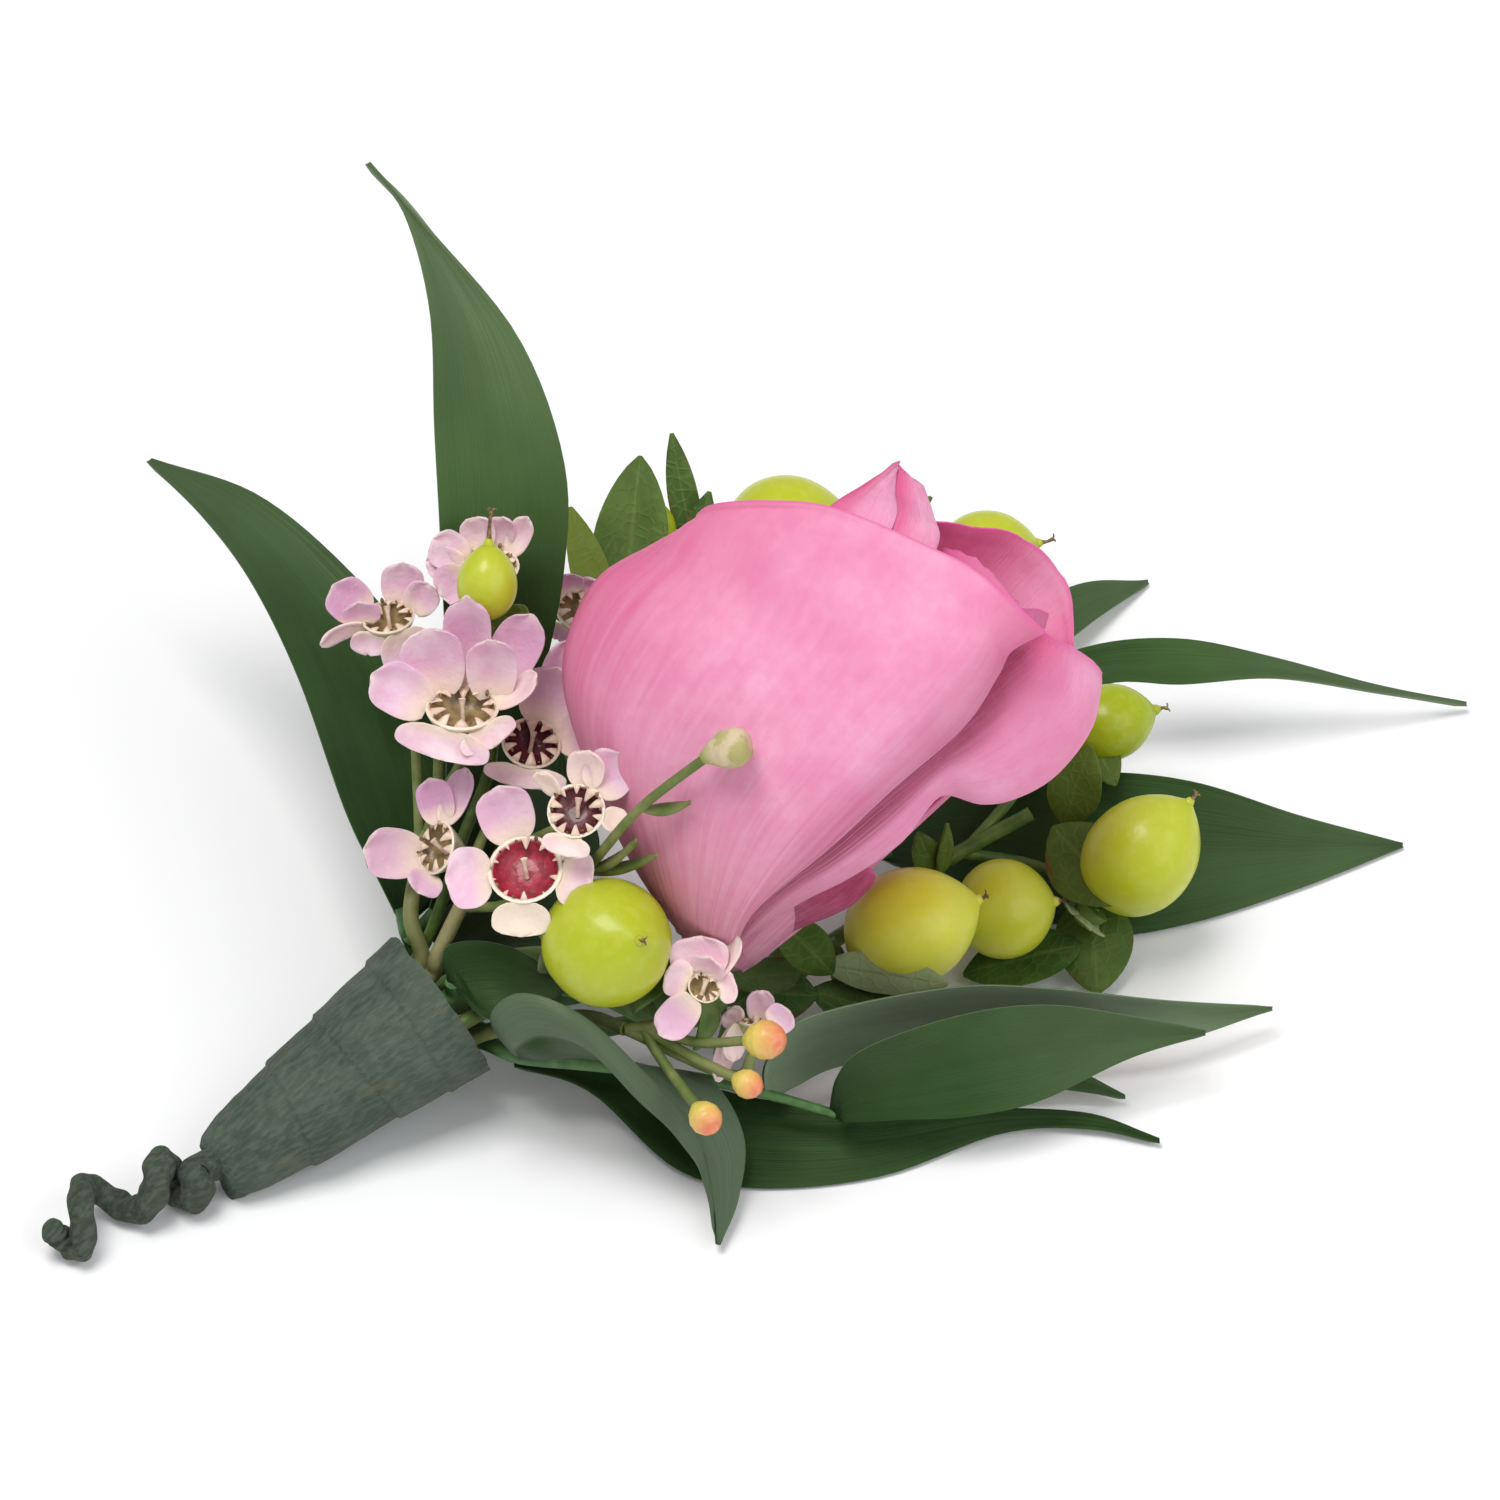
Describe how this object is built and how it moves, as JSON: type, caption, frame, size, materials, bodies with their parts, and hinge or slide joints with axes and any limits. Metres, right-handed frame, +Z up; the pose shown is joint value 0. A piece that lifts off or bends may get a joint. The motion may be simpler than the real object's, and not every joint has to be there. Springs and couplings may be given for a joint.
{
  "type": "rose boutonniere",
  "caption": "Buttonhole bunch lying down: pink rose, ruscus leaves, hypericum berries and waxflower, wound in florist's tape that ends in a curled taped wire.",
  "frame": {"origin": "centre of the small flat under the lower end of the taped stem, on the table that the bunch lies on", "axes": "+Z up from the table, +X along the bunch's length towards the rose and the leaf tips, +Y away from the viewer of the picture"},
  "size_m": [0.1156, 0.0816, 0.0477],
  "materials": {
    "floral_tape": "dry crepe, matt",
    "floral_wire": "thin green enamel",
    "rose_petal": "velvety, matt",
    "rose_green": "matt",
    "ruscus_leaf": "satin, waxy",
    "hypericum_green": "matt",
    "hypericum_berry": "smooth, glossy skin",
    "waxflower_stem": "woody, matt",
    "waxflower_petal": "waxy, soft"
  },
  "bodies": {
    "root": {"floral_tape": "floral_tape", "floral_wire": "floral_wire", "rose_bloom": "rose_petal", "rose_stem": "rose_green", "ruscus_left": "ruscus_leaf", "ruscus_front": "ruscus_leaf", "ruscus_back": "ruscus_leaf", "ruscus_small": "ruscus_leaf", "hypericum_front": "hypericum_green", "hypericum_right": "hypericum_green", "hypericum_back": "hypericum_green", "hypericum_left": "hypericum_green", "berry_front": "hypericum_berry", "berry_right_1": "hypericum_berry", "berry_right_2": "hypericum_berry", "berry_right_3": "hypericum_berry", "berry_right_4": "hypericum_berry", "berry_back_1": "hypericum_berry", "berry_back_2": "hypericum_berry", "berry_left": "hypericum_berry", "berry_left_2": "hypericum_berry", "waxflower_sprig_left": "waxflower_stem", "waxflower_sprig_middle": "waxflower_stem", "waxflower_sprig_front": "waxflower_stem", "waxflower_1": "waxflower_petal", "waxflower_2": "waxflower_petal", "waxflower_3": "waxflower_petal", "waxflower_4": "waxflower_petal", "waxflower_5": "waxflower_petal", "waxflower_6": "waxflower_petal", "waxflower_7": "waxflower_petal", "waxflower_8": "waxflower_petal", "waxflower_9": "waxflower_petal", "waxflower_10": "waxflower_petal"}
  },
  "joints": []
}
